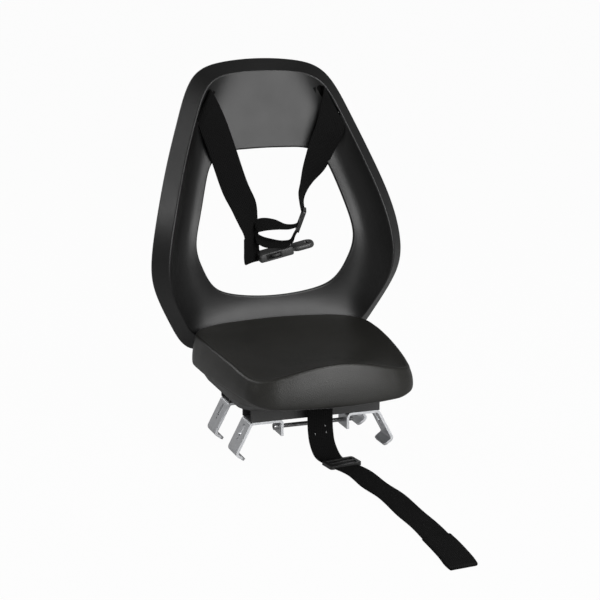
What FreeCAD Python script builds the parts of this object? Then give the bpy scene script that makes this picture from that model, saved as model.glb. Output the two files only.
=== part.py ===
import FreeCAD, Part
import math
import os

from FreeCAD import Placement, Rotation, Vector

# A child seat for the rear rack of a bicycle, in millimetres.
# +X is the sitter's left, the seat faces -Y and +Z is up.
# The origin is the middle of the four rack hooks, on the underside of their bars.

# Rack hooks: bent steel strip
STRIP_THICK = 3.0
STRIP_WIDE = 32.0
STRIP_BEND = 2.5          # inside bend radius
HOOK_SPACING = 85.0       # front pair to rear pair
HOOK_BAR_END = 79.0       # outer corner of the bar from the middle
HOOK_FLARE = 19.6         # how far the arm leans out
HOOK_DEPTH = 37.4         # bar top to the arm's lower corner
LIP_IN = 11.8
LIP_DROP = 8.1
LIP_CORNER = 5.0
TAB_X = 39.0              # inner face of the clamp tab from the middle
TAB_DROP = 20.0
TAB_WIDE = 28.0
ARM_SLOT = (15.0, 6.4)    # length and width
ARM_SLOT_AT = 13.5        # down the arm from the bar
ARM_HOLE = 3.0
ARM_HOLE_AT = 24.5
SLIDE_TRAVEL = 22.0       # each hook moves in this far

# Clamp bolts and guide screws
BOLT_D = 5.0
BOLT_DROP = 9.0           # below the bar's underside
BOLT_HEAD = (8.5, 5.0)    # diameter and height
BOLT_SOCKET = (4.0, 2.6)  # across flats and depth
BOLT_SPARE = 5.0          # thread past the nut
BOLT_ROUND = 0.8          # edge of the head
NUT = (8.0, 4.0)          # across flats and height
HOLE_ROOM = 0.25          # radial room round a bolt
THREAD_ROOM = 0.05        # radial room in a nut or a boss
GUIDE_X = 49.0
GUIDE_D = 5.0
GUIDE_HEAD = (9.0, 2.4)
GUIDE_THREAD = (4.0, 9.0)
SLIDE_ROOM = 0.3          # gap above and below a sliding bar

# Rails under the pan
RAIL_WIDE = 34.0
RAIL_HIGH = 16.7
RAIL_WALL = 3.0
RAIL_BOSS = 11.0
RAIL_SCREW_X = 24.0
SCREW = (4.0, 8.0, 2.6)   # shank, head diameter, head height
SCREW_GRIP = 6.0

# Seat pan and pad
PAN_HIGH = 16.0
PAN_WALL = 3.0
PAN_DECK = 4.0
PAN_INSET = 9.0           # pan rim inside the pad's edge
PAN_TAPER = 10.0          # floor inside the rim
PAN_SETBACK = 36.0        # floor behind the rim at the front
PAN_REAR = 92.0           # reaches behind the pad, over the hinge arms' feet
PAD_HALF = 110.0
PAD_FRONT = -139.0
PAD_REAR = 79.0
PAD_CORNER = 46.0         # plan radius of the front corners
PAD_REAR_CORNER = 18.0
PAD_BOW_R = 200.0         # plan radius of the bowed front
PAD_DRAFT = 4.0           # sides lean in towards the top
PAD_EDGE = 8.0            # rounding of the top edge
PAD_TALL = 60.0           # the draft is measured over this height

# Pad sections: distance behind the front, then heights above the base
# at the middle, halfway out and at the sides
PAD_SECTIONS = (
    (-5.0, 43.0, 30.0, 24.0),
    (22.0, 44.0, 32.0, 28.0),
    (85.0, 34.0, 32.0, 35.0),
    (150.0, 37.0, 37.0, 41.0),
    (223.0, 55.0, 53.0, 41.0),
)

# Backrest rim line in side view: straight leg, arc, straight lean
SPINE_Y = 72.5
SPINE_Z = 175.0
SPINE_R = 165.0
LEAN = math.radians(23.0)
LOW_LEAN = math.radians(17.0)
DISH_BEHIND = 10.0        # window edge behind the rim
DISH_SHARE = 0.62         # where the dish turns up to the ridge
SHELL_WALL = 5.0
CREST_ROUND = 2.0         # front of the ridge
CREST_INSIDE = 3.0        # hollow behind the ridge
WINDOW_ROUND = 1.8
RIM_ROUND = 1.0
STRAP_SLOT = (42.0, 7.0)
STRAP_SLOT_AT = (79.0, 347.0)
STRAP_SLOT_TURN = 60.0    # degrees from level
SLOT_REACH = 120.0        # length of the slot cutter

# Ridge ahead of the rim and turn of the dish behind it, at heights (z, depth)
CREST_LINE = ((76.0, 15.0), (116.0, 19.0), (370.0, 19.0), (386.0, 9.0))
DISH_LINE = ((96.0, -2.0), (136.0, 2.0), (262.0, 2.0), (320.0, -2.0))

# Half outlines, bottom middle to top middle: rim, ridge and window (x, z)
STATIONS = (
    ((0, 56), (0, 75), (0, 114)),
    ((60, 54.5), (58, 74), (36, 116.5)),
    ((105, 54), (101, 75), (66, 124)),
    ((131, 86), (120, 98), (82, 137)),
    ((151.5, 128), (135, 129), (92, 155)),
    ((158.5, 168), (141.5, 168), (100, 183)),
    ((149, 222), (132, 221), (93, 219)),
    ((130, 280), (114, 277), (80.5, 259)),
    ((109, 333), (93, 331), (70, 279)),
    ((84, 379), (71, 370.5), (52, 289.5)),
    ((45, 395), (38, 382.5), (27, 292)),
    ((0, 398), (0, 384.3), (0, 292.5)),
)

# Fold hinge behind the backrest
HINGE_Y = 108.0
HINGE_Z = 103.0
HINGE_X = 60.0
PIN_D = 8.0
PIN_ROOM = 0.05
KNUCKLE_R = 8.0
ARM_WIDE = 14.0
ARM_THICK = 12.0
CHEEK = 6.0
CHEEK_GAP = 0.4
CHEEK_ROOT = 40.0         # cheeks reach forward into the shell
NECK_BACK = 38.0          # how far the arm reaches behind the hinge
ARM_GAP = 0.5             # behind the rear rail
NOTCH_ROOM = 2.0
NOTCH_TOP = 78.0          # hidden behind the pad
NOTCH_REACH = 60.0
ARM_BEND = 10.0
ARM_SCREW_IN = 12.0       # screw from the arm's front end

# Webbing and its plastic fittings
WEB_WIDE = 31.0
WEB_THICK = 1.6
SHOULDER_WIDE = 34.0
CHEST_WIDE = 24.0
WEB_OUT = 7.0                   # in front of a strap slot
SEWN_EXTRA = 0.6                # stitching between two layers
FLOOR_GAP = 0.4
BUCKLE = (44.0, 21.0, 8.0)      # body length, width and thickness
BUCKLE_ROUND = 2.5
BUCKLE_WINDOW = (12.5, 4.5, 5.0)  # in each narrow side: length, height and depth
BUCKLE_BAR = 4.0
TONGUE = (29.0, 20.0, 6.0)
TONGUE_ROUND = 6.4
TONGUE_BAR = 6.0
TONGUE_SLOT = 5.0
TONGUE_GAP = 0.2
BUCKLE_AT = (6.0, 109.5, 163.5)
BUCKLE_TURN = 11.5              # degrees up from level
BUCKLE_TILT = 86.0              # degrees back from facing the front
SLIDER_BAR = 4.0
SLIDER_ROUND = 3.2
CHEST_SLIDER = (34.0, 28.0, 4.0)
CHEST_SLIDER_AT = (40.5, 109.5, 203.0)
CHEST_SLIDER_LEAN = 20.0        # degrees from upright
CHEST_SLIDER_TURN = 19.0
CROTCH_SLIDER = (40.0, 24.0, 4.0)
CROTCH_SLIDER_AT = (14.0, -106.0)
CROTCH_SLIDER_TURN = 82.0
ANCHOR = (14.0, 3.0)            # width and thickness
ANCHOR_OVER = 4.5               # past each edge of the webbing
ANCHOR_SHARE = 0.7              # of the ridge's height over the rim

# Shoulder straps below their slots: middle and edge direction
LEFT_STRAP = (
    ((-70.0, 112.0, 318.0), (0.92, 0.0, 0.38)),
    ((-45.0, 110.0, 256.0), (0.92, 0.0, 0.38)),
    ((-28.0, 109.5, 206.0), (0.90, 0.3, 0.20)),
    ((-24.5, 109.5, 157.0), (0.74, 0.67, 0.0)),
)
RIGHT_STRAP = (
    ((74.0, 111.0, 318.0), (0.90, 0.0, -0.43)),
    ((60.0, 110.0, 280.0), (0.95, 0.1, -0.30)),
    ((47.0, 109.5, 248.0), (0.60, 0.8, -0.10)),
    ((42.0, 109.5, 228.0), (0.42, 0.9, 0.0)),
    ((44.0, 109.5, 212.0), (0.42, 0.9, 0.0)),
)

# Strap loop between them (x, z), as deep as the webbing is wide
CHEST_EDGE = (0.25, 1.0, 0.1)
CHEST_UPPER = ((-18.0, 199.0), (8.0, 201.0), (24.0, 196.0), (40.0, 199.0))
CHEST_LOWER = ((-18.0, 180.0), (8.0, 177.0), (27.0, 171.5), (36.0, 193.0))

# Crotch strap from under the pan to the floor: x, y and height over the floor
CROTCH_TOP = (-1.6, -76.0)
CROTCH_RUN = (
    (-1.6, -77.0, 35.3),
    (1.0, -81.0, 15.3),
    (7.0, -90.0, 3.0),
    (14.0, -108.0, 0.0),
    (22.0, -170.0, 0.0),
    (25.0, -280.0, 0.0),
    (22.0, -360.0, 0.0),
)
CROTCH_END = ((22.0, -360.0), (19.5, -400.0), (15.0, -436.0))
CROTCH_EDGE = (1.0, 0.0, 0.0)
CROTCH_END_EDGE = (1.0, 0.1, 0.0)


def span(x0, x1, y0, y1, z0, z1):
    return Part.makeBox(x1 - x0, y1 - y0, z1 - z0, Vector(x0, y0, z0))


def rod(start, direction, length, diameter):
    return Part.makeCylinder(diameter / 2, length, start, direction)


def mirrored(shape):
    return shape.mirror(Vector(0, 0, 0), Vector(1, 0, 0))


def one_side_band(path, thickness):
    """Closed outline of a strip that lies to the right of a 2-D path, with mitred corners."""
    inner = []
    for i, (a, b) in enumerate(path):
        normals = []
        for p, q in zip(path[max(i - 1, 0):i + 1], path[i:i + 2]):
            if p != q:
                run = math.hypot(q[0] - p[0], q[1] - p[1])
                normals.append(((q[1] - p[1]) / run, (p[0] - q[0]) / run))
        if i == 0:
            p, q = path[0], path[1]
            run = math.hypot(q[0] - p[0], q[1] - p[1])
            normals = [((q[1] - p[1]) / run, (p[0] - q[0]) / run)]
        n0, n1 = normals[0], normals[-1]
        scale = thickness / (1 + n0[0] * n1[0] + n0[1] * n1[1])
        inner.append((a + (n0[0] + n1[0]) * scale, b + (n0[1] + n1[1]) * scale))
    return list(path) + inner[::-1]


def prism(outline, place, push):
    """Extrude a closed 2-D outline, placed in space by a function."""
    points = [place(a, b) for a, b in outline]
    return Part.Face(Part.makePolygon(points + points[:1])).extrude(push)


def round_edges(solid, corners, axis, radius):
    """Round the edges along an axis that pass through the given points."""
    picked = []
    for edge in solid.Edges:
        ends = [v.Point for v in edge.Vertexes]
        if len(ends) != 2 or abs((ends[1] - ends[0]).normalize().dot(axis)) < PARALLEL:
            continue
        for corner in corners:
            offset = corner - ends[0]
            if (offset - axis * offset.dot(axis)).Length < SEAM:
                picked.append(edge)
                break
    return solid.makeFillet(radius, picked)


def long_slot(length, width, depth):
    """A slot cutter along X, through the XY plane."""
    half, r = (length - width) / 2, width / 2
    ends = Part.Arc(Vector(half, -r, 0), Vector(half + r, 0, 0), Vector(half, r, 0)).toShape()
    back = Part.Arc(Vector(-half, r, 0), Vector(-half - r, 0, 0), Vector(-half, -r, 0)).toShape()
    top = Part.makeLine(Vector(half, r, 0), Vector(-half, r, 0))
    low = Part.makeLine(Vector(-half, -r, 0), Vector(half, -r, 0))
    face = Part.Face(Part.Wire([ends, top, back, low]))
    solid = face.extrude(Vector(0, 0, depth))
    solid.translate(Vector(0, 0, -depth / 2))
    return solid


def hexagon(centre, axis, across, height):
    """A six-sided prism from a centre along X."""
    points = []
    for i in range(7):
        turn = math.radians(60 * i + 30)
        r = across / math.sqrt(3)
        points.append(centre + Vector(0, r * math.cos(turn), r * math.sin(turn)))
    return Part.Face(Part.makePolygon(points)).extrude(axis * height)


SEAM = 0.01               # edges nearer than this are taken to coincide
PARALLEL = 0.99           # cosine above which an edge counts as parallel
CUT = 4 * STRIP_THICK     # depth of cutters through the strip

# Derived places
BAR_TOP = STRIP_THICK
RAIL_LOW = BAR_TOP + SLIDE_ROOM
RAIL_TOP = RAIL_LOW + RAIL_HIGH
PAD_BASE = RAIL_TOP + PAN_HIGH
LIP_LOW = BAR_TOP - HOOK_DEPTH - LIP_DROP
ARM_RUN = math.hypot(HOOK_FLARE, HOOK_DEPTH)
ROWS = {"front": -HOOK_SPACING / 2, "rear": HOOK_SPACING / 2}
ARM_FOOT_Y = ROWS["rear"] + RAIL_WIDE / 2 + ARM_GAP
ARM_SCREW_Y = ARM_FOOT_Y + ARM_SCREW_IN


def hook(row_y):
    """Right-hand hook: clamp tab, bar, flared arm and lip from one strip."""
    corner = (HOOK_BAR_END, BAR_TOP)
    low = (HOOK_BAR_END + HOOK_FLARE, BAR_TOP - HOOK_DEPTH)
    path = [(TAB_X, BAR_TOP - TAB_DROP), (TAB_X, BAR_TOP), corner, low, (low[0] - LIP_IN, LIP_LOW)]
    outline = one_side_band(path, STRIP_THICK)
    front = row_y - STRIP_WIDE / 2
    solid = prism(outline, lambda a, b: Vector(a, front, b), Vector(0, STRIP_WIDE, 0))
    count = len(path)
    outer = [Vector(a, front, b) for a, b in outline[1:count - 1]]
    inner = [Vector(a, front, b) for a, b in outline[count + 1:-1]]
    solid = round_edges(solid, outer, Vector(0, 1, 0), STRIP_BEND + STRIP_THICK)
    solid = round_edges(solid, inner, Vector(0, 1, 0), STRIP_BEND)
    solid = cut_tab_sides(solid, row_y)
    solid = solid.cut(arm_openings(row_y))
    solid = solid.cut(guide_slot(row_y))
    bolt_hole = rod(Vector(0, row_y, -BOLT_DROP), Vector(1, 0, 0), TAB_X + 2 * STRIP_THICK,
                    BOLT_D + 2 * HOLE_ROOM)
    return round_lip(solid.cut(bolt_hole), row_y)


def cut_tab_sides(solid, row_y):
    """The clamp tab is narrower than the strip."""
    reach = TAB_X + STRIP_THICK + STRIP_BEND
    for side in (-1, 1):
        y0, y1 = sorted((row_y + side * TAB_WIDE / 2, row_y + side * STRIP_WIDE))
        solid = solid.cut(span(0, reach, y0, y1, LIP_LOW, -STRIP_BEND))
    return solid


def arm_openings(row_y):
    """Slot and small hole, square to the flared arm."""
    slope = math.degrees(math.atan2(HOOK_DEPTH, HOOK_FLARE))
    turn = Rotation(Vector(0, 1, 0), slope)
    along = Vector(HOOK_FLARE / ARM_RUN, 0, -HOOK_DEPTH / ARM_RUN)
    top = Vector(HOOK_BAR_END, row_y, BAR_TOP)
    slot = long_slot(ARM_SLOT[0], ARM_SLOT[1], CUT)
    slot.Placement = Placement(top + along * ARM_SLOT_AT, turn).multiply(slot.Placement)
    across = turn.multVec(Vector(0, 0, 1))
    start = top + along * ARM_HOLE_AT - across * CUT / 2
    return slot.fuse(rod(start, across, CUT, ARM_HOLE))


def guide_slot(row_y):
    """Slot in the bar for the shoulder of the guide screw."""
    width = GUIDE_D + 2 * HOLE_ROOM
    slot = long_slot(SLIDE_TRAVEL + width, width, CUT)
    slot.translate(Vector(GUIDE_X + SLIDE_TRAVEL / 2, row_y, 0))
    return slot


def round_lip(solid, row_y):
    """Round the two corners of the lip's free end."""
    picked = []
    for edge in solid.Edges:
        mid = edge.CenterOfMass
        on_side = abs(abs(mid.y - row_y) - STRIP_WIDE / 2) < SEAM
        if on_side and abs(edge.Length - STRIP_THICK) < SEAM and mid.z < LIP_LOW + STRIP_THICK:
            picked.append(edge)
    return solid.makeFillet(LIP_CORNER, picked)


def clamp_bolt(row_y):
    """Socket head bolt across both tabs, head at the left."""
    seat = -(TAB_X + STRIP_THICK)
    centre = Vector(seat, row_y, -BOLT_DROP)
    along = Vector(1, 0, 0)
    head = rod(centre, -along, BOLT_HEAD[1], BOLT_HEAD[0])
    rim = [e for e in head.Edges if abs(e.CenterOfMass.x - (seat - BOLT_HEAD[1])) < SEAM]
    head = head.makeFillet(BOLT_ROUND, rim)
    socket = hexagon(centre - along * BOLT_HEAD[1], along, BOLT_SOCKET[0], BOLT_SOCKET[1])
    length = 2 * (TAB_X + STRIP_THICK) + NUT[1] + BOLT_SPARE
    shank = rod(centre, along, length, BOLT_D)
    return head.cut(socket).fuse(shank).removeSplitter()


def clamp_nut(row_y):
    """Hexagon nut on the outer face of the right tab."""
    seat = Vector(TAB_X + STRIP_THICK, row_y, -BOLT_DROP)
    along = Vector(1, 0, 0)
    bore = rod(seat, along, NUT[1], BOLT_D + 2 * THREAD_ROOM)
    return hexagon(seat, along, NUT[0], NUT[1]).cut(bore)


def guide_screws():
    """Shoulder screws that carry the bars, heads below."""
    up = Vector(0, 0, 1)
    screws = []
    for row_y in ROWS.values():
        for x in (-GUIDE_X, GUIDE_X):
            head_top = Vector(x, row_y, -SLIDE_ROOM)
            head = rod(head_top, -up, GUIDE_HEAD[1], GUIDE_HEAD[0])
            shoulder = rod(head_top, up, RAIL_LOW + SLIDE_ROOM, GUIDE_D)
            thread = rod(Vector(x, row_y, RAIL_LOW), up, GUIDE_THREAD[1], GUIDE_THREAD[0])
            screws.append(head.fuse([shoulder, thread]).removeSplitter())
    return Part.makeCompound(screws)


def rail(row_y):
    """Upturned channel, open at both ends, with a boss for each guide screw."""
    half = RAIL_WIDE / 2
    end = HOOK_BAR_END
    body = span(-end, end, row_y - half, row_y + half, RAIL_LOW, RAIL_TOP)
    core = half - RAIL_WALL
    hollow = span(-2 * end, 2 * end, row_y - core, row_y + core, 0, RAIL_TOP - RAIL_WALL)
    body = body.cut(hollow)
    up = Vector(0, 0, 1)
    for x in (-GUIDE_X, GUIDE_X):
        boss = rod(Vector(x, row_y, RAIL_LOW), up, RAIL_HIGH - RAIL_WALL / 2, RAIL_BOSS)
        body = body.fuse(boss)
    for x in (-GUIDE_X, GUIDE_X):
        bore = rod(Vector(x, row_y, 0), up, RAIL_LOW + GUIDE_THREAD[1], GUIDE_THREAD[0] + 2 * THREAD_ROOM)
        body = body.cut(bore)
    for x in (-RAIL_SCREW_X, RAIL_SCREW_X):
        body = body.cut(rod(Vector(x, row_y, 0), up, 2 * RAIL_TOP, SCREW[0] + 2 * HOLE_ROOM))
    return body.removeSplitter()


def rail_screws():
    """Screws up through the rails into the pan's deck."""
    up = Vector(0, 0, 1)
    seat = RAIL_TOP - RAIL_WALL
    screws = []
    for row_y in ROWS.values():
        for x in (-RAIL_SCREW_X, RAIL_SCREW_X):
            head = rod(Vector(x, row_y, seat), -up, SCREW[2], SCREW[1])
            shank = rod(Vector(x, row_y, seat), up, SCREW_GRIP, SCREW[0])
            screws.append(head.fuse(shank).removeSplitter())
    return Part.makeCompound(screws)


def seat_outline(inset, z, rear, setback=0):
    """Plan of the seat: bowed front, rounded corners, straight sides, all tangent."""
    half = PAD_HALF - inset
    bow, r = PAD_BOW_R - inset, PAD_CORNER - inset
    bow_y = PAD_FRONT + PAD_BOW_R + setback
    corner = Vector(half - r, bow_y - math.sqrt((bow - r) ** 2 - (half - r) ** 2), z)
    lean = math.atan2(bow_y - corner.y, corner.x)
    tail = PAD_REAR_CORNER
    tail_centre = Vector(half - tail, rear - tail, z)

    def on_arc(centre, radius, angle):
        return centre + Vector(radius * math.cos(angle), radius * math.sin(angle), 0)

    def flip(p):
        return Vector(-p.x, p.y, p.z)

    front = on_arc(corner, r, -lean)
    front_mid = on_arc(corner, r, -lean / 2)
    side = on_arc(corner, r, 0)
    tail_side = on_arc(tail_centre, tail, 0)
    tail_mid = on_arc(tail_centre, tail, math.pi / 4)
    tail_end = on_arc(tail_centre, tail, math.pi / 2)
    edges = [
        Part.makeLine(tail_side, side),
        Part.Arc(side, front_mid, front).toShape(),
        Part.Arc(front, Vector(0, bow_y - bow, z), flip(front)).toShape(),
        Part.Arc(flip(front), flip(front_mid), flip(side)).toShape(),
        Part.makeLine(flip(side), flip(tail_side)),
        Part.Arc(flip(tail_side), flip(tail_mid), flip(tail_end)).toShape(),
        Part.makeLine(flip(tail_end), tail_end),
        Part.Arc(tail_end, tail_mid, tail_side).toShape(),
    ]
    return Part.Wire(edges)


def seat_pan():
    """Tapered tray that carries the pad on its rim."""
    rim, floor = PAN_INSET, PAN_INSET + PAN_TAPER
    body = Part.makeLoft([seat_outline(floor, RAIL_TOP, PAN_REAR, PAN_SETBACK),
                          seat_outline(rim, PAD_BASE, PAN_REAR)], True, True)
    deck = RAIL_TOP + PAN_DECK
    rise = PAN_DECK / PAN_HIGH
    inner_rear = PAN_REAR - PAN_WALL
    inside = [seat_outline(floor - PAN_TAPER * rise + PAN_WALL, deck, inner_rear, PAN_SETBACK * (1 - rise)),
              seat_outline(rim + PAN_WALL, PAD_BASE, inner_rear)]
    body = body.cut(Part.makeLoft(inside, True, True))
    up = Vector(0, 0, 1)
    for row_y in ROWS.values():
        for x in (-RAIL_SCREW_X, RAIL_SCREW_X):
            body = body.cut(rod(Vector(x, row_y, 0), up, 2 * RAIL_TOP, SCREW[0] + 2 * THREAD_ROOM))
    for x in (-HINGE_X, HINGE_X):
        body = body.cut(rod(Vector(x, ARM_SCREW_Y, 0), up, 2 * RAIL_TOP, SCREW[0] + 2 * THREAD_ROOM))
    return body


def pad_section(back, crown, dip, side):
    """Cross-section of the pad: level base, upright sides and a waved top."""
    half = PAD_HALF + PAD_DRAFT
    y = PAD_FRONT + back
    heights = (side, dip, crown, dip, side)
    points = [Vector((i - 2) * half / 2, y, PAD_BASE + high) for i, high in enumerate(heights)]
    top = Part.BSplineCurve()
    top.interpolate(points)
    low_left, low_right = Vector(-half, y, PAD_BASE), Vector(half, y, PAD_BASE)
    edges = [top.toShape(), Part.makeLine(points[-1], low_right),
             Part.makeLine(low_right, low_left), Part.makeLine(low_left, points[0])]
    return Part.Wire(edges)


def seat_pad():
    """Padded saddle: raised front middle, thigh dips, hollow middle, rising rear."""
    block = Part.makeLoft([pad_section(*row) for row in PAD_SECTIONS], True, False)
    plan = Part.makeLoft([seat_outline(0, PAD_BASE, PAD_REAR),
                          seat_outline(PAD_DRAFT, PAD_BASE + PAD_TALL, PAD_REAR - PAD_DRAFT)], True, True)
    pad = block.common(plan)
    top = [e for e in pad.Edges if e.BoundBox.ZMin > PAD_BASE + PAD_EDGE and e.Length > PAD_EDGE]
    return pad.makeFillet(PAD_EDGE, top)


def spine(z):
    """Depth of the backrest's rim at a height."""
    top = SPINE_Z + SPINE_R * math.sin(LEAN)
    low = SPINE_Z - SPINE_R * math.sin(LOW_LEAN)
    if z > top:
        return SPINE_Y + SPINE_R * (1 - math.cos(LEAN)) + (z - top) * math.tan(LEAN)
    if z < low:
        return SPINE_Y + SPINE_R * (1 - math.cos(LOW_LEAN)) + (low - z) * math.tan(LOW_LEAN)
    return SPINE_Y + SPINE_R - math.sqrt(SPINE_R ** 2 - (z - SPINE_Z) ** 2)


def depth_at(z, line):
    """Read a depth at a height from a row of (z, depth) marks."""
    if z <= line[0][0]:
        return line[0][1]
    for (z0, d0), (z1, d1) in zip(line, line[1:]):
        if z < z1:
            return d0 + (d1 - d0) * (z - z0) / (z1 - z0)
    return line[-1][1]


def half_ring(half, depth):
    """Right half of a ring through a half outline, level where it meets its mirror image."""
    points = [Vector(x, spine(z) + depth(z), z) for x, z in half]
    steps = [float(i) for i in range(len(points))]
    across = Vector(1, 0, 0)
    curve = Part.BSplineCurve()
    curve.interpolate(Points=points, Parameters=steps, Scale=False,
                      InitialTangent=across * points[1].x, FinalTangent=-across * points[-2].x)
    return curve.toShape()


def ring_lines():
    """Right-hand lines of the backrest's front: window edge, turn of the dish, ridge and rim."""
    rim = [s[0] for s in STATIONS]
    crest = [s[1] for s in STATIONS]
    window = [s[2] for s in STATIONS]
    turn = [(w[0] + (c[0] - w[0]) * DISH_SHARE, w[1] + (c[1] - w[1]) * DISH_SHARE)
            for w, c in zip(window, crest)]
    return (half_ring(window, lambda z: DISH_BEHIND), half_ring(turn, lambda z: depth_at(z, DISH_LINE)),
            half_ring(crest, lambda z: -depth_at(z, CREST_LINE)), half_ring(rim, lambda z: 0))


def edge_on(solid, line, behind):
    """The edge of a solid that runs along a line, some way behind it."""
    line = line.translated(Vector(0, behind, 0))
    long_edges = [e for e in solid.Edges if e.Length > line.Length / 2]
    for edge in long_edges:
        middle = edge.valueAt((edge.FirstParameter + edge.LastParameter) / 2)
        if line.distToShape(Part.Vertex(middle))[0] < SEAM:
            return edge


def shell_half():
    """Right half of the shell with rounded edges, and a block that fills the space in front of it."""
    window, turn, ridge, rim = ring_lines()
    dish = Part.makeLoft([Part.Wire([line]) for line in (window, turn, ridge)], False, False).Faces[0]
    band = Part.makeRuledSurface(ridge, rim)
    push = Vector(0, SHELL_WALL, 0)
    half = dish.extrude(push).fuse(band.extrude(push)).removeSplitter().Solids[0]
    half = half.makeFillet(CREST_ROUND, [edge_on(half, ridge, 0)])
    half = half.makeFillet(CREST_INSIDE, [edge_on(half, ridge, SHELL_WALL)])
    for line, radius in ((window, WINDOW_ROUND), (rim, RIM_ROUND)):
        half = half.makeFillet(radius, [edge_on(half, line, 0), edge_on(half, line, SHELL_WALL)])
    return half, dish.extrude(Vector(0, -CHEEK_ROOT, 0))


def hinge_cheeks(front):
    """Pairs of cheeks behind the shell, bored for the hinge pins."""
    across = Vector(1, 0, 0)
    cheeks = []
    for side in (-1, 1):
        for edge in (-1, 1):
            inner = side * HINGE_X + edge * (ARM_WIDE / 2 + CHEEK_GAP)
            x0 = min(inner, inner + edge * CHEEK)
            knuckle = rod(Vector(x0, HINGE_Y, HINGE_Z), across, CHEEK, 2 * KNUCKLE_R)
            root = span(x0, x0 + CHEEK, HINGE_Y - CHEEK_ROOT, HINGE_Y,
                        HINGE_Z - KNUCKLE_R, HINGE_Z + KNUCKLE_R)
            cheeks.append(knuckle.fuse(root).cut(front))
    return cheeks


def strap_slot(side):
    """Cutter for the slanted slot that a shoulder strap comes through."""
    slot = long_slot(STRAP_SLOT[0], STRAP_SLOT[1], SLOT_REACH)
    slot.rotate(Vector(0, 0, 0), Vector(1, 0, 0), 90)
    slot.rotate(Vector(0, 0, 0), Vector(0, 1, 0), side * STRAP_SLOT_TURN)
    x, z = STRAP_SLOT_AT
    slot.translate(Vector(side * x, spine(z), z))
    return slot


def backrest_shell():
    """Thin ring-shaped shell: dished front, ridge, sloping band and hinge cheeks behind."""
    half, ahead = shell_half()
    shell = half.fuse(mirrored(half)).removeSplitter()
    shell = shell.fuse(hinge_cheeks(ahead.fuse(mirrored(ahead))))
    across = Vector(1, 0, 0)
    shell = shell.cut(rod(Vector(-PAD_HALF, HINGE_Y, HINGE_Z), across, 2 * PAD_HALF, PIN_D))
    for side in (-1, 1):
        shell = shell.cut(strap_slot(side))
        x, room = side * HINGE_X, ARM_WIDE / 2 + NOTCH_ROOM
        front, rear = HINGE_Y - NOTCH_REACH, HINGE_Y + NOTCH_REACH
        shell = shell.cut(span(x - room, x + room, front, rear, 0, NOTCH_TOP))
    return shell


def hinge_arm(side):
    """Gooseneck arm from under the pan, round behind the backrest to the hinge."""
    back = HINGE_Y + NECK_BACK
    low = RAIL_TOP - ARM_THICK
    top = HINGE_Z + ARM_THICK / 2
    path = [(ARM_FOOT_Y, low), (back, low), (back, top), (HINGE_Y, top)]
    outline = one_side_band(path[::-1], ARM_THICK)
    x0 = side * HINGE_X - ARM_WIDE / 2
    across = Vector(1, 0, 0)
    arm = prism(outline, lambda a, b: Vector(x0, a, b), across * ARM_WIDE)
    count = len(path)
    outer = [Vector(x0, a, b) for a, b in outline[1:count - 1]]
    inner = [Vector(x0, a, b) for a, b in outline[count + 1:-1]]
    arm = round_edges(arm, outer, across, ARM_BEND + ARM_THICK)
    arm = round_edges(arm, inner, across, ARM_BEND)
    knuckle = rod(Vector(x0, HINGE_Y, HINGE_Z), across, ARM_WIDE, 2 * KNUCKLE_R)
    arm = arm.fuse(knuckle)
    arm = arm.cut(rod(Vector(x0, HINGE_Y, HINGE_Z), across, ARM_WIDE, PIN_D + 2 * PIN_ROOM))
    hole = rod(Vector(side * HINGE_X, ARM_SCREW_Y, 0), Vector(0, 0, 1), RAIL_TOP, SCREW[0] + 2 * HOLE_ROOM)
    arm = arm.cut(hole)
    return arm.removeSplitter()


def hinge_pins():
    """One pin through each pair of cheeks."""
    half = ARM_WIDE / 2 + CHEEK_GAP + CHEEK
    across = Vector(1, 0, 0)
    return Part.makeCompound([rod(Vector(side * HINGE_X - half, HINGE_Y, HINGE_Z), across, 2 * half, PIN_D)
                              for side in (-1, 1)])


def hinge_screws():
    """Screws up through the feet of the hinge arms into the pan."""
    up = Vector(0, 0, 1)
    low = RAIL_TOP - ARM_THICK
    screws = []
    for x in (-HINGE_X, HINGE_X):
        head = rod(Vector(x, ARM_SCREW_Y, low), -up, SCREW[2], SCREW[1])
        shank = rod(Vector(x, ARM_SCREW_Y, low), up, ARM_THICK + PAN_DECK, SCREW[0])
        screws.append(head.fuse(shank).removeSplitter())
    return Part.makeCompound(screws)


def ribbon(stops, width, thick):
    """Flat webbing through a row of (middle, edge direction) stops."""
    middles = [Vector(*stop[0]) for stop in stops]
    sections = []
    for i, (_, edge) in enumerate(stops):
        run = (middles[min(i + 1, len(stops) - 1)] - middles[max(i - 1, 0)]).normalize()
        side = Vector(*edge)
        side = (side - run * side.dot(run)).normalize() * (width / 2)
        face = run.cross(side).normalize() * (thick / 2)
        corners = [middles[i] + side + face, middles[i] + side - face,
                   middles[i] - side - face, middles[i] - side + face]
        sections.append(Part.makePolygon(corners + corners[:1]))
    lengths = [Part.makeLoft([a, b], True, True) for a, b in zip(sections, sections[1:])]
    joined = lengths[0].fuse(lengths[1:])
    return max(joined.Solids, key=lambda solid: solid.Volume)


def anchor_y():
    """Depth of the bar behind a strap slot."""
    z = STRAP_SLOT_AT[1]
    return spine(z) - depth_at(z, CREST_LINE) * ANCHOR_SHARE + SHELL_WALL + ANCHOR[1]


def shoulder_strap(side, lower):
    """Shoulder webbing from its anchor, through the slanted slot and down."""
    x, z = STRAP_SLOT_AT
    turn = math.radians(STRAP_SLOT_TURN)
    slant = (math.cos(turn), 0, -side * math.sin(turn))
    rear = anchor_y()
    upper = tuple(((side * x, y, z), slant) for y in (rear, rear - SHELL_WALL - WEB_OUT))
    return ribbon(upper + lower, SHOULDER_WIDE, WEB_THICK)


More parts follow.
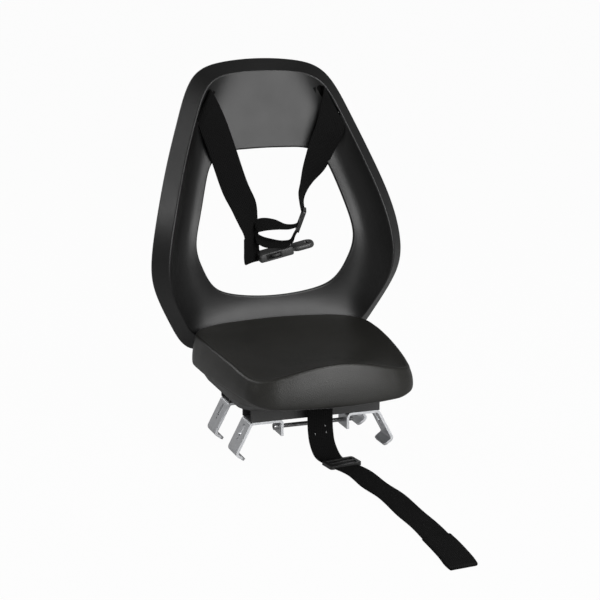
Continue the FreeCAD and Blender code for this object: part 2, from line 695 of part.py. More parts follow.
def strap_anchor(side):
    """Flat bar behind the slot that the webbing is sewn round."""
    x, z = STRAP_SLOT_AT
    long = SHOULDER_WIDE + 2 * ANCHOR_OVER
    bar = Part.makeBox(long, *ANCHOR, Vector(-long / 2, -ANCHOR[0] / 2, 0))
    bar.rotate(Vector(0, 0, 0), Vector(1, 0, 0), -90)
    bar.rotate(Vector(0, 0, 0), Vector(0, 1, 0), side * STRAP_SLOT_TURN)
    bar.translate(Vector(side * x, anchor_y(), z))
    return bar


def slider(size):
    """Ladder lock: a flat frame with two slots and a middle bar."""
    long, high, thick = size
    frame = Part.makeBox(long, high, thick, Vector(-long / 2, -high / 2, -thick / 2))
    gap = (high - 3 * SLIDER_BAR) / 2
    for low in (-high / 2 + SLIDER_BAR, high / 2 - SLIDER_BAR - gap):
        frame = frame.cut(Part.makeBox(long - 2 * SLIDER_BAR, gap, 2 * thick,
                                       Vector(SLIDER_BAR - long / 2, low, -thick)))
    upright = [e for e in frame.Edges if abs(e.tangentAt(e.FirstParameter).z) > PARALLEL]
    outer = [e for e in upright if abs(e.CenterOfMass.x) > long / 2 - SEAM]
    return frame.makeFillet(SLIDER_ROUND, outer)


def buckle_frame(shape):
    """Put a buckle half, drawn along X, where the buckle hangs."""
    shape.rotate(Vector(0, 0, 0), Vector(1, 0, 0), 90 - BUCKLE_TILT)
    shape.rotate(Vector(0, 0, 0), Vector(0, 1, 0), -BUCKLE_TURN)
    shape.translate(Vector(*BUCKLE_AT))
    return shape


def buckle_body():
    """Socket half: flat case with a window in each narrow side and a webbing slot."""
    long, high, thick = BUCKLE
    case = Part.makeBox(long, high, thick, Vector(-long / 2, -high / 2, -thick / 2))
    along = [e for e in case.Edges if abs(e.tangentAt(e.FirstParameter).x) > PARALLEL]
    case = case.makeFillet(BUCKLE_ROUND, along)
    wide, tall, deep = BUCKLE_WINDOW
    for y in (-high / 2, high / 2 - deep):
        case = case.cut(Part.makeBox(wide, deep, tall, Vector(-wide / 2, y, -tall / 2)))
    slot = Part.makeBox(BUCKLE_BAR, high - 2 * BUCKLE_BAR, 2 * thick,
                        Vector(BUCKLE_BAR - long / 2, BUCKLE_BAR - high / 2, -thick))
    return buckle_frame(case.cut(slot))


def buckle_tongue():
    """Plug half: a rounded webbing loop."""
    long, high, thick = TONGUE
    start = BUCKLE[0] / 2 + TONGUE_GAP
    plate = Part.makeBox(long, high, thick, Vector(start, -high / 2, -thick / 2))
    upright = [e for e in plate.Edges if abs(e.tangentAt(e.FirstParameter).z) > PARALLEL]
    ends = [e for e in upright if e.CenterOfMass.x > start + SEAM]
    plate = plate.makeFillet(TONGUE_ROUND, ends)
    slot = Part.makeBox(TONGUE_SLOT, high - 2 * TONGUE_BAR, 2 * thick,
                        Vector(start + long - 2 * TONGUE_BAR, TONGUE_BAR - high / 2, -thick))
    return buckle_frame(plate.cut(slot))


def chest_strap(points):
    """One run of the strap loop."""
    y = BUCKLE_AT[1]
    return ribbon([((x, y, z), CHEST_EDGE) for x, z in points], CHEST_WIDE, WEB_THICK)


def chest_slider():
    """Ladder lock on the strap loop, seen nearly edge on."""
    lock = slider(CHEST_SLIDER)
    up = Vector(0, 0, 1)
    lock.rotate(Vector(0, 0, 0), up, 90)
    lock.rotate(Vector(0, 0, 0), Vector(0, 1, 0), 90 + CHEST_SLIDER_LEAN)
    lock.rotate(Vector(0, 0, 0), up, -CHEST_SLIDER_TURN)
    lock.translate(Vector(*CHEST_SLIDER_AT))
    return lock


def crotch_strap():
    """Webbing that hangs from the pan to the floor and lies ahead of the seat."""
    floor = LIP_LOW + FLOOR_GAP + WEB_THICK / 2
    middles = [(*CROTCH_TOP, RAIL_TOP - FLOOR_GAP)] + [(x, y, floor + up) for x, y, up in CROTCH_RUN]
    return ribbon([(middle, CROTCH_EDGE) for middle in middles], WEB_WIDE, WEB_THICK)


def crotch_loop():
    """Doubled and sewn end of the crotch webbing."""
    thick = 2 * WEB_THICK + SEWN_EXTRA
    floor = LIP_LOW + FLOOR_GAP + thick / 2
    return ribbon([((x, y, floor), CROTCH_END_EDGE) for x, y in CROTCH_END], WEB_WIDE, thick)


def crotch_slider():
    """Ladder lock on the crotch webbing, flat on the floor."""
    lock = slider(CROTCH_SLIDER)
    lock.rotate(Vector(0, 0, 0), Vector(0, 0, 1), 90 - CROTCH_SLIDER_TURN)
    x, y = CROTCH_SLIDER_AT
    lock.translate(Vector(x, y, LIP_LOW + FLOOR_GAP + CROTCH_SLIDER[2] / 2))
    return lock


def save(name, shape):
    shape.exportStep("parts/" + name + ".step")


def main():
    os.makedirs("parts", exist_ok=True)
    for row, row_y in ROWS.items():
        right = hook(row_y)
        save("hook_" + row + "_right", right)
        save("hook_" + row + "_left", mirrored(right))
        save(row + "_clamp_bolt", clamp_bolt(row_y))
        save(row + "_clamp_nut", clamp_nut(row_y))
        save(row + "_rail", rail(row_y))
    save("guide_screws", guide_screws())
    save("rail_screws", rail_screws())
    save("seat_pan", seat_pan())
    save("seat_pad", seat_pad())
    save("backrest_shell", backrest_shell())
    save("hinge_arm_left", hinge_arm(-1))
    save("hinge_arm_right", hinge_arm(1))
    save("hinge_pins", hinge_pins())
    save("hinge_screws", hinge_screws())
    save("shoulder_strap_left", shoulder_strap(-1, LEFT_STRAP))
    save("shoulder_strap_right", shoulder_strap(1, RIGHT_STRAP))
    save("strap_anchors", Part.makeCompound([strap_anchor(-1), strap_anchor(1)]))
    save("chest_strap_upper", chest_strap(CHEST_UPPER))
    save("chest_strap_lower", chest_strap(CHEST_LOWER))
    save("chest_slider", chest_slider())
    save("buckle_body", buckle_body())
    save("buckle_tongue", buckle_tongue())
    save("crotch_strap", crotch_strap())
    save("crotch_loop", crotch_loop())
    save("crotch_slider", crotch_slider())


main()
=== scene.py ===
import math

import bpy
import numpy as np
from mathutils import Matrix, Vector


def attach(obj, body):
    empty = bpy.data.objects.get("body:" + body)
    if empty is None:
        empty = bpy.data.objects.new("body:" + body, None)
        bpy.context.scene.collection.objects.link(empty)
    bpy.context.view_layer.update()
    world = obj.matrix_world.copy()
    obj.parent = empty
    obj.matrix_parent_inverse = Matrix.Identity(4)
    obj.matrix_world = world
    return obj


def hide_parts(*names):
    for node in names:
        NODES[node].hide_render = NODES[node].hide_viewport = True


# A child seat for a bicycle's rear rack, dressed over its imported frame, in metres.
# Sizes in the tables below are in millimetres, as in the part's source.
MM = 0.001

# Camera at the photograph's angle
EYE = Vector((-0.6430, -1.8336, 0.5827))
AIM = Vector((-0.01967, -0.0585, 0.14316))
LENS, SENSOR, FAR_CLIP = 102.0, 36.0, 100.0
FLOOR_Z = -0.0425
FLOOR_REACH = 16.0
FLOOR_GREY = 0.36
FLOOR_SEEN = 0.97         # share of plain white that the camera sees
FLOOR_MIRRORED = 0.16     # and that reflections see
SKY_LOW, SKY_HIGH = (0.03, 0.42), (0.14, 0.13)   # height and grey
# Lamps as name, place, target, size and brightness
LAMPS = (
    ("key", (0.5, -1.85, 0.68), (0, 0.08, 0.25), (1.7, 1.4), 5.4),
    ("top", (0.5, -0.95, 1.75), (0, 0.05, 0.15), (0.9, 0.5), 11.0),
    ("left", (-1.65, -0.05, 1.2), (0, 0.1, 0.3), (0.8, 0.7), 4.2),
    ("rim", (-1.0, 1.3, 1.1), (-0.1, -0.05, 0.08), (0.9, 0.9), 2.6),
)

# Seat pad: right half of its plan from the front middle to the rear middle
PAD_PLAN = ((0, -137.5), (30, -136), (58, -132), (78, -126.5), (90, -118.5), (96, -108), (99, -95),
            (104.5, -55), (109.5, -5), (111.5, 35), (110, 62), (104, 74), (90, 79), (45, 80.5), (0, 81))
PAD_AROUND, PAD_FINE = 160, 30   # points round a plan, and finer ones per given point
PAD_MIDDLE = (0, -22)
PAD_BASE = 36.0
PAD_HALF = 112.0
PAD_EDGE = 4.0            # radius of the top edge
PAD_BEAD, PAD_BEAD_REACH = 1.8, 16.0
PAD_BEAD_INSETS = (PAD_BEAD_REACH, 13, 10, 7.5)
PAD_TOP_SHARES = (0.02, 0.2, 0.4, 0.6, 0.75, 0.87, 0.95)
PAD_WALL_SHARES = (0.25, 0.5, 0.75, 0.95)
PAD_UNDER_SHARES = (1.0, 0.5, 0.02)
PAD_BULGE = 1.5
PAD_DRAFT = 4.0           # lower edge outside the top edge
PAD_HEEL, PAD_FOOT = 1.0, 3.0   # insets of the lower edge and of the foot on the pan's lip
PAD_UNDER = 0.94          # underside as a share of the lip's plan
PAD_ROUND_STEPS = 6
PAD_SECTIONS_FROM = -139.0
# Distance behind that line, then height above the base in the middle, halfway out and at the side
PAD_SECTIONS = (
    (-5.0, 48.5, 41.5, 32.5),
    (22.0, 47.0, 38.0, 35.0),
    (85.0, 35.0, 34.5, 41.0),
    (150.0, 36.0, 37.5, 44.0),
    (223.0, 55.0, 53.0, 44.0),
)
# Height of the pad's lower edge along y
PAD_LOWER = ((-137, 37.5), (-128, 38.5), (-118, 42), (-104, 45), (-60, 46), (81, 46))
# Lip of the pan: right half of its foot on the pan's rim
LIP_PLAN = ((0, -130), (30, -127.6), (55, -121.9), (79.4, -112.6), (90.2, -105.2), (98.3, -92.9), (101, -79),
            (101, -20), (101, 40), (99, 60), (92, 69), (45, 71), (0, 71))
LIP_WALL = 1.5
LIP_FOOT_Z = 35.6
LIP_EDGE = 1.8            # inside the pad's lower edge
LIP_GAP = 0.3             # below the pad's lower edge
LIP_SHARES, LIP_CURVE = (0.08, 0.5, 0.92, 1.0), 1.3   # steps down the lip, and bend of its flare
LIP_INNER = 0.98          # inner foot as a share of the lip's plan

# How a block's end closes: distance from the end and shrink, as shares of its radius
END_ROUND = ((0, 1), (0.3, 0.3), (1, 0))

# Buckle, along its own length from the middle of its case
BUCKLE_AT = (6.0, 109.5, 163.5)
BUCKLE_TURN, BUCKLE_TILT = -11.5, 4.0
CASE_ENDS, CASE_WINDOW = (-22.0, 22.0), (-13.0, 5.0)
CASE_HALF, CASE_HIGH, CASE_ROUND = 10.5, 10.0, 2.4
CASE_PLATE, CASE_PLATE_ROUND = 1.8, 0.8
CASE_PLATE_LAP, CASE_PLATE_INSET = 3.0, 0.4
PLUG = ((29.0, 20.0), 36.7, 8.0)      # size, middle and corner of the plate
PLUG_SLOT = ((5.0, 9.0), 42.5, 2.0)   # and of its slot
PLUG_THICK, PLUG_EDGE = 6.0, 1.4
# Rings round the plug's section: outline, how much smaller, and level as a share of its thickness
PLUG_RINGS = ((PLUG, PLUG_EDGE, 0.5), (PLUG, 0, 0.25), (PLUG, 0, -0.25), (PLUG, PLUG_EDGE, -0.5),
              (PLUG_SLOT, 0, -0.5), (PLUG_SLOT, 0, 0.5))
PRONG = ((24, 6.5), (8, 7.2), (3, 8.6), (-1, 9.6), (-4, 8.6), (-6, 6.5))
PRONG_SIZE, PRONG_ROUND, PRONG_STEPS = (2.6, 3.4), 0.9, 24

# Webbing
WEB_THICK, LOOP_THICK = 1.6, 3.8
WEB_STEP = 2.5
WEB_CUP, WEB_CUP_LEVEL = 0.8, 0.33   # rise of a shoulder strap's edges, and share of it that its middle sinks
WEB_RIB, WEB_PICK = 2.2, 1.8   # pitch of the ribs and of the weave
# Outline of a strap's section: shares of half its width and half its thickness
WEB_PROFILE = ((-1, 0), (-0.97, 0.7), (-0.9, 1), (-0.45, 1), (0, 1), (0.45, 1), (0.9, 1), (0.97, 0.7),
               (1, 0), (0.97, -0.7), (0.9, -1), (0.45, -1), (0, -1), (-0.45, -1), (-0.9, -1), (-0.97, -0.7))
FLOOR_LIE = FLOOR_Z / MM + 0.4   # underside of a strap on the floor

# Clamp bolt's thread
THREAD_PITCH, THREAD_FROM = 0.8, -42.0

# Radius to which mouldings' edges look softened
EDGE_SOFT = 0.5

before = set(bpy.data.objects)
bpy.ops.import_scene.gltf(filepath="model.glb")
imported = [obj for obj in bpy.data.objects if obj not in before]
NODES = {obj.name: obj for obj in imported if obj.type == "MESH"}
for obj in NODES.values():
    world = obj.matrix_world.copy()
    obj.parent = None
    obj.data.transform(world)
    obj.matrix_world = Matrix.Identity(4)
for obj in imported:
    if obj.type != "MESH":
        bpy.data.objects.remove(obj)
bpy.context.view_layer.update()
scene = bpy.context.scene
scene.view_settings.view_transform = "Standard"


# Camera, floor and light


def aim_at(obj, target):
    obj.rotation_euler = (target - obj.location).to_track_quat("-Z", "Y").to_euler()


def make_camera():
    data = bpy.data.cameras.new("camera")
    data.lens = LENS
    data.sensor_width = SENSOR
    data.clip_end = FAR_CLIP
    camera = bpy.data.objects.new("camera", data)
    camera.location = EYE
    aim_at(camera, AIM)
    scene.collection.objects.link(camera)
    scene.camera = camera


def soft_box(name, place, target, size, brightness):
    """A rectangular lamp that shows a given brightness."""
    data = bpy.data.lights.new(name, "AREA")
    data.shape = "RECTANGLE"
    data.size, data.size_y = size
    data.energy = brightness * size[0] * size[1] * math.pi
    lamp = bpy.data.objects.new(name, data)
    lamp.location = Vector(place)
    lamp.visible_camera = False
    aim_at(lamp, Vector(target))
    scene.collection.objects.link(lamp)


class Tree:
    """Short calls to add and link shader nodes."""

    def __init__(self, tree):
        self.tree = tree

    def add(self, kind, inputs=None, **settings):
        node = self.tree.nodes.new("ShaderNode" + kind)
        for key, value in settings.items():
            setattr(node, key, value)
        for key, value in (inputs or {}).items():
            self.feed(node, key, value)
        return node

    def feed(self, node, key, value):
        if isinstance(value, bpy.types.Node):
            value = value.outputs[0]
        if isinstance(value, bpy.types.NodeSocket):
            self.tree.links.new(value, node.inputs[key])
        else:
            node.inputs[key].default_value = value

    def math(self, operation, first, second=0.0):
        return self.add("Math", {0: first, 1: second}, operation=operation)

    def ramp(self, value, stops):
        """Colour ramp between two stops."""
        node = self.add("ValToRGB", {0: value})
        for mark, (place, colour) in zip(node.color_ramp.elements, stops):
            mark.position = place
            mark.color = (*colour, 1)
        return node


def grey(value):
    return (value, value, value)


def make_floor():
    """White to the camera and in reflections, with a faint shadow."""
    far = FLOOR_REACH
    mesh = bpy.data.meshes.new("floor")
    corners = [(-far, -far, FLOOR_Z), (far, -far, FLOOR_Z), (far, far, FLOOR_Z), (-far, far, FLOOR_Z)]
    mesh.from_pydata(corners, [], [(0, 1, 2, 3)])
    floor = bpy.data.objects.new("floor", mesh)
    scene.collection.objects.link(floor)
    mat = bpy.data.materials.new("floor_white")
    mat.use_nodes = True
    mat.node_tree.nodes.clear()
    t = Tree(mat.node_tree)
    path = t.add("LightPath")
    mirrored = t.math("MAXIMUM", path.outputs["Is Glossy Ray"], path.outputs["Is Transmission Ray"])
    share = t.math("MAXIMUM", t.math("MULTIPLY", path.outputs["Is Camera Ray"], FLOOR_SEEN),
                   t.math("MULTIPLY", mirrored, FLOOR_MIRRORED))
    plain = t.add("BsdfDiffuse", {"Color": (*grey(FLOOR_GREY), 1)})
    glow = t.add("Emission", {"Strength": 1.0})
    mix = t.add("MixShader", {0: share, 1: plain, 2: glow})
    t.add("OutputMaterial", {"Surface": mix})
    mesh.materials.append(mat)


def make_world():
    """White to the camera, and otherwise pale at the horizon and dim above."""
    world = bpy.data.worlds.new("studio")
    scene.world = world
    world.use_nodes = True
    t = Tree(world.node_tree)
    height = t.add("SeparateXYZ", {0: t.add("TexCoord").outputs["Generated"]}).outputs["Z"]
    shade = t.ramp(height, [(place, grey(value)) for place, value in (SKY_LOW, SKY_HIGH)])
    seen = t.add("LightPath").outputs["Is Camera Ray"]
    sky = t.add("Mix", {"Factor": seen, 6: shade, 7: (*grey(FLOOR_SEEN), 1)}, data_type="RGBA")
    t.feed(world.node_tree.nodes["Background"], "Color", sky.outputs[2])


# Materials


def base_material(name, roughness, metallic=0.0, specular=0.5):
    mat = bpy.data.materials.new(name)
    mat.use_nodes = True
    shader = mat.node_tree.nodes["Principled BSDF"]
    shader.inputs["Roughness"].default_value = roughness
    shader.inputs["Metallic"].default_value = metallic
    shader.inputs["Specular IOR Level"].default_value = specular
    return mat, Tree(mat.node_tree), shader


def moulded(name, dark, light, roughness, grain, depth, specular):
    """Moulded plastic or foam skin: fine grain, cloudy colour and gloss, and softened edges."""
    mat, t, shader = base_material(name, roughness, specular=specular)
    place = t.add("TexCoord").outputs["Object"]
    cloud = t.add("TexNoise", {"Vector": place, "Scale": 14.0, "Detail": 5.0})
    t.feed(shader, "Base Color", t.ramp(cloud, ((0.3, dark), (0.7, light))))
    smudge = t.add("TexNoise", {"Vector": place, "Scale": 38.0, "Detail": 4.0})
    spread = t.add("MapRange", {0: smudge, 3: roughness - 0.05, 4: roughness + 0.06})
    t.feed(shader, "Roughness", spread)
    pores = t.add("TexVoronoi", {"Vector": place, "Scale": grain})
    fine = t.add("TexNoise", {"Vector": place, "Scale": grain * 1.7, "Detail": 2.0})
    height = t.math("ADD", pores, fine)
    soft = t.add("Bevel", {"Radius": EDGE_SOFT * MM}, samples=4)
    bump = t.add("Bump", {"Strength": depth, "Distance": 0.0004, "Height": height, "Normal": soft})
    t.feed(shader, "Normal", bump)
    return mat


def brushed(name, colour, roughness, along):
    """Plated steel with fine brush lines; along gives the stretch of the lines."""
    mat, t, shader = base_material(name, roughness, metallic=1.0)
    place = t.add("TexCoord").outputs["Object"]
    lines = t.add("Mapping", {"Vector": place, "Scale": along})
    brush = t.add("TexNoise", {"Vector": lines, "Scale": 1.0, "Detail": 3.0})
    cloud = t.add("TexNoise", {"Vector": place, "Scale": 60.0, "Detail": 3.0})
    streaks = t.ramp(brush, ((0.3, [c * 0.9 for c in colour]), (0.7, colour)))
    stains = t.ramp(cloud, ((0.3, [c * 0.88 for c in colour]), (0.7, colour)))
    shade = t.add("Mix", {"Factor": 0.5, 6: streaks, 7: stains}, data_type="RGBA")
    t.feed(shader, "Base Color", shade.outputs[2])
    t.feed(shader, "Roughness", t.add("MapRange", {0: brush, 3: roughness - 0.03, 4: roughness + 0.05}))
    t.feed(shader, "Normal", t.add("Bump", {"Strength": 0.2, "Distance": 0.00001, "Height": brush}))
    return mat


def threaded(name, colour):
    """Steel bolt with a thread along X, right of its head."""
    mat, t, shader = base_material(name, 0.3, metallic=1.0)
    place = t.add("TexCoord").outputs["Object"]
    x = t.add("SeparateXYZ", {0: place}).outputs["X"]
    wave = t.math("SINE", t.math("MULTIPLY", x, 2 * math.pi / (THREAD_PITCH * MM)))
    shank = t.math("GREATER_THAN", x, THREAD_FROM * MM)
    height = t.math("MULTIPLY", wave, shank)
    t.feed(shader, "Normal", t.add("Bump", {"Strength": 0.8, "Distance": 0.0004, "Height": height}))
    stain = t.add("TexNoise", {"Vector": place, "Scale": 90.0, "Detail": 4.0})
    t.feed(shader, "Base Color", t.ramp(stain, ((0.35, [c * 0.55 for c in colour]), (0.65, colour))))
    return mat


def woven(name):
    """Black webbing: ribs along it, a slanted weave across and fuzz, with painted shade that darkens the
    weave's hollows.
    """
    mat, t, shader = base_material(name, 0.85, specular=0.08)
    uv = t.add("SeparateXYZ", {0: t.add("UVMap", uv_map="weave")})
    along, across = uv.outputs["X"], uv.outputs["Y"]
    rib = t.math("SINE", t.math("MULTIPLY", across, 2 * math.pi / (WEB_RIB * MM)))
    slant = t.math("ADD", t.math("MULTIPLY", along, 2 * math.pi / (WEB_PICK * MM)),
                   t.math("MULTIPLY", t.math("ABSOLUTE", rib), 1.6))
    pick = t.math("SINE", slant)
    fuzz = t.add("TexNoise", {"Vector": t.add("TexCoord").outputs["Object"], "Scale": 900.0, "Detail": 3.0})
    height = t.math("ADD", t.math("MULTIPLY", rib, 0.5), t.math("ADD", t.math("MULTIPLY", pick, 0.5), fuzz))
    # Base colour follows the weave's height: painted shade makes the hollows between ribs and picks darker,
    # and the fuzz adds random tone.
    shade = t.add("MapRange", {0: height, 1: -0.6, 2: 1.6, 3: 0.0, 4: 1.0})
    t.feed(shader, "Base Color", t.ramp(shade, ((0.1, grey(0.0015)), (0.9, grey(0.007)))))
    t.feed(shader, "Normal", t.add("Bump", {"Strength": 0.6, "Distance": 0.0005, "Height": height}))
    return mat


# Mesh helpers


def through(knots, values, at):
    """Smooth curve through values at knots."""
    knots, values, at = np.array(knots, float), np.array(values, float), np.atleast_1d(at)
    slopes = np.gradient(values, knots, axis=0)
    i = np.clip(np.searchsorted(knots, at, side="right") - 1, 0, len(knots) - 2)
    gap = knots[i + 1] - knots[i]
    t = (at - knots[i]) / gap
    if values.ndim > 1:
        gap, t = gap[:, None], t[:, None]
    start = (2 * t ** 3 - 3 * t ** 2 + 1) * values[i] + (t ** 3 - 2 * t ** 2 + t) * gap * slopes[i]
    return start + (3 * t ** 2 - 2 * t ** 3) * values[i + 1] + (t ** 3 - t ** 2) * gap * slopes[i + 1]


def unit(rows):
    return rows / np.linalg.norm(rows, axis=-1, keepdims=True)


def skin_over(rings, closed=False):
    """Points and faces over a row of point rings: a closed row joins its ends, an open one has caps."""
    count, around = len(rings), len(rings[0])
    faces = []
    for i in range(count if closed else count - 1):
        for j in range(around):
            k, n = (j + 1) % around, (i + 1) % count
            faces.append((i * around + j, i * around + k, n * around + k, n * around + j))
    if not closed:
        faces.append(tuple(range(around - 1, -1, -1)))
        faces.append(tuple((count - 1) * around + j for j in range(around)))
    return np.concatenate(rings), faces


def skin_object(name, skins, uv=None):
    """One smooth object from several skins, given in millimetres."""
    points, faces = [], []
    for rows, polygons in skins:
        faces += [tuple(len(points) + i for i in polygon) for polygon in polygons]
        points += (rows * MM).tolist()
    mesh = bpy.data.meshes.new(name)
    mesh.from_pydata(points, [], faces)
    mesh.shade_smooth()
    if uv is not None:
        layer = mesh.uv_layers.new(name="weave")
        rows = np.concatenate(uv) * MM
        for loop in mesh.loops:
            layer.data[loop.index].uv = rows[loop.vertex_index]
    obj = bpy.data.objects.new(name, mesh)
    scene.collection.objects.link(obj)
    return obj


def dress(obj, material, body, nodes=()):
    obj.data.materials.clear()
    obj.data.materials.append(material)
    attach(obj, body)
    if nodes:
        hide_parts(*nodes)


# Seat pad


def closed_curve(points, count):
    """Evenly spaced points on a smooth closed curve through the given ones."""
    loop = np.concatenate((points[-3:], points, points[:4]))
    walk = np.r_[0, np.cumsum(np.linalg.norm(np.diff(loop, axis=0), axis=1))]
    fine = through(walk, loop, np.linspace(walk[3], walk[len(points) + 3], PAD_FINE * len(points)))
    walk = np.r_[0, np.cumsum(np.linalg.norm(np.diff(fine, axis=0), axis=1))]
    at = np.linspace(0, walk[-1], count, endpoint=False)
    return np.stack([np.interp(at, walk, fine[:, i]) for i in (0, 1)], 1)


def both_halves(right):
    """Even points round a plan whose right half is given."""
    right = np.array(right, float)
    return closed_curve(np.concatenate((right, right[-2:0:-1] * (-1, 1))), PAD_AROUND)


def pad_plan(inset):
    """Plan of the pad, moved inwards."""
    ring = both_halves(PAD_PLAN)
    ahead = unit(np.roll(ring, -1, 0) - np.roll(ring, 1, 0))
    return ring + np.stack((-ahead[:, 1], ahead[:, 0]), 1) * inset


def pad_top(plan, bead):
    """Height of the pad's top, with a share of the bead along its edge."""
    rows = np.array(PAD_SECTIONS)
    crown, dip, side = (through(rows[:, 0], rows[:, i], plan[:, 1] - PAD_SECTIONS_FROM) for i in (1, 2, 3))
    u = plan[:, 0] / PAD_HALF
    b = 4 / 3 * ((side - crown) - 4 * (dip - crown))
    return PAD_BASE + crown + (side - crown - b) * u ** 2 + b * u ** 4 + PAD_BEAD * bead


def pad_lower(plan):
    """Height of the pad's lower edge: low in front, higher along the sides."""
    y, z = np.array(PAD_LOWER, float).T
    return np.interp(plan[:, 1], y, z)


def make_pad(material):
    """Moulded foam saddle: a hollow top inside a raised edge, swelling walls and a rounded foot."""
    inner = pad_plan(PAD_BEAD_REACH)
    rings = []
    for share in PAD_TOP_SHARES:
        plan = np.array(PAD_MIDDLE) + (inner - PAD_MIDDLE) * share
        rings.append(np.c_[plan, pad_top(plan, 0)])
    for inset in PAD_BEAD_INSETS:
        plan = pad_plan(inset)
        near = (PAD_BEAD_REACH - inset) / (PAD_BEAD_REACH - PAD_EDGE)
        rings.append(np.c_[plan, pad_top(plan, near ** 2)])
    top = pad_top(pad_plan(PAD_EDGE), 1)
    for i in range(PAD_ROUND_STEPS + 1):
        turn = i / PAD_ROUND_STEPS * math.pi / 2
        rings.append(np.c_[pad_plan(PAD_EDGE * (1 - math.sin(turn))), top - PAD_EDGE * (1 - math.cos(turn))])
    lower = pad_lower(pad_plan(0))
    for share in PAD_WALL_SHARES:
        plan = pad_plan(-PAD_DRAFT * share - PAD_BULGE * math.sin(share * math.pi))
        rings.append(np.c_[plan, (top - PAD_EDGE) * (1 - share) + lower * share])
    for inset in (PAD_HEEL, PAD_FOOT):
        rings.append(np.c_[pad_plan(inset - PAD_DRAFT), lower])
    foot = both_halves(LIP_PLAN) * PAD_UNDER
    for share in PAD_UNDER_SHARES:
        plan = np.array(PAD_MIDDLE) + (foot - PAD_MIDDLE) * share
        rings.append(np.c_[plan, np.full(PAD_AROUND, PAD_BASE)])
    pad = skin_object("pad", [skin_over(rings[::-1])])
    pad.modifiers.new("smooth", "SUBSURF").levels = 1
    pad.modifiers["smooth"].render_levels = 1
    dress(pad, material, "seat", ["seat_pad"])


def make_lip(material):
    """Flared lip of the pan, which carries the pad's lower edge."""
    outside, foot = pad_plan(LIP_EDGE - PAD_DRAFT), both_halves(LIP_PLAN)
    top = pad_lower(pad_plan(0)) - LIP_GAP
    low = np.full(PAD_AROUND, LIP_FOOT_Z)
    rings = [np.c_[outside, top]]
    for share in LIP_SHARES:
        rings.append(np.c_[outside + (foot - outside) * share ** LIP_CURVE, top + (low - top) * share])
    rings.append(np.c_[foot * LIP_INNER, low])
    rings.append(np.c_[pad_plan(LIP_EDGE + LIP_WALL - PAD_DRAFT), top])
    lip = skin_object("pan_lip", [skin_over(rings[::-1], closed=True)])
    dress(lip, material, "seat")


# Buckle


def rounded(wide, high, radius, middle=(0, 0), steps=5):
    """Points of a rectangle with round corners."""
    points = []
    for corner, (sx, sy) in enumerate(((1, 1), (-1, 1), (-1, -1), (1, -1))):
        turn = (corner + np.linspace(0, 1, steps)) * math.pi / 2
        points.append(np.stack((np.cos(turn), np.sin(turn)), 1) * radius
                      + (sx * (wide / 2 - radius), sy * (high / 2 - radius)))
    return np.concatenate(points) + middle


def bar(start, end, half, middle, high, radius):
    """Block along X with rounded edges and ends."""
    ends = [(start + share * radius, shrink) for share, shrink in END_ROUND]
    ends += [(end - share * radius, shrink) for share, shrink in END_ROUND[::-1]]
    rings = []
    for x, shrink in ends:
        section = rounded(2 * (half - shrink * radius / 2), high - shrink * radius, radius / 2, (0, middle))
        rings.append(np.c_[np.full(len(section), x), section])
    return skin_over(rings)


def place_buckle(skins):
    """Move skins from the buckle's own frame to the seat's."""
    turn = Matrix.Rotation(math.radians(BUCKLE_TURN), 3, "Y")
    tilt = Matrix.Rotation(math.radians(BUCKLE_TILT), 3, "X")
    return [(rows @ np.array(turn @ tilt).T + BUCKLE_AT, faces) for rows, faces in skins]


def make_case(material):
    """Case of the buckle: two end blocks between two plates, open at both narrow sides."""
    (start, end), (left, right) = CASE_ENDS, CASE_WINDOW
    lift = (CASE_HIGH - CASE_PLATE) / 2
    skins = []
    for low, high in ((start, left), (right, end)):
        skins.append(bar(low, high, CASE_HALF, 0, CASE_HIGH, CASE_ROUND))
    for z in (-lift, lift):
        skins.append(bar(left - CASE_PLATE_LAP, right + CASE_PLATE_LAP, CASE_HALF - CASE_PLATE_INSET, z,
                         CASE_PLATE, CASE_PLATE_ROUND))
    case = skin_object("buckle_case", place_buckle(skins))
    dress(case, material, "backrest", ["buckle_body"])


def make_plug(material):
    """Plug of the buckle: a plate with a strap slot and two springy prongs."""
    rings = []
    for (size, middle, radius), less, level in PLUG_RINGS:
        plan = rounded(size[0] - less, size[1] - less, radius, (middle, 0))
        rings.append(np.c_[plan, np.full(len(plan), level * PLUG_THICK)])
    skins = [skin_over(rings, closed=True)]
    path = np.array(PRONG, float)
    knots = np.arange(len(path))
    line = through(knots, path, np.linspace(0, knots[-1], PRONG_STEPS))
    section = rounded(*PRONG_SIZE, PRONG_ROUND, steps=3)
    for side in (1, -1):
        rows = [np.c_[np.full(len(section), x), side * (y + section[:, 0]), section[:, 1]] for x, y in line]
        skins.append(skin_over(rows[::side]))
    plug = skin_object("buckle_plug", place_buckle(skins))
    dress(plug, material, "backrest", ["buckle_tongue"])


# Webbing


def webbing(name, stops, material, body, nodes, thick=WEB_THICK, cup=0.0):
    """Woven strap through (middle, edge direction, width) stops, in millimetres."""
    middles = np.array([s[0] for s in stops], float)
    steps = np.r_[0, np.cumsum(np.linalg.norm(np.diff(middles, axis=0), axis=1))]
    at = np.linspace(0, steps[-1], int(steps[-1] / WEB_STEP) + 2)
    line = through(steps, middles, at)
    side = unit(through(steps, unit(np.array([s[1] for s in stops], float)), at))
    wide = through(steps, [s[2] for s in stops], at)
    run = unit(np.gradient(line, at, axis=0))
    face = unit(np.cross(run, side))
    across, through_it = np.array(WEB_PROFILE, float).T
    bend = cup * (across ** 2 - WEB_CUP_LEVEL)
    rings, uv = [], []
    for i in range(len(at)):
        rings.append(line[i] + np.outer(across * wide[i] / 2, side[i])
                     + np.outer(through_it * thick / 2 + bend, face[i]))
        uv.append(np.stack((np.full(len(across), at[i]), across * wide[i] / 2), 1))
    strap = skin_object(name, [skin_over(rings[::-1])], uv[::-1])
    dress(strap, material, body, nodes)


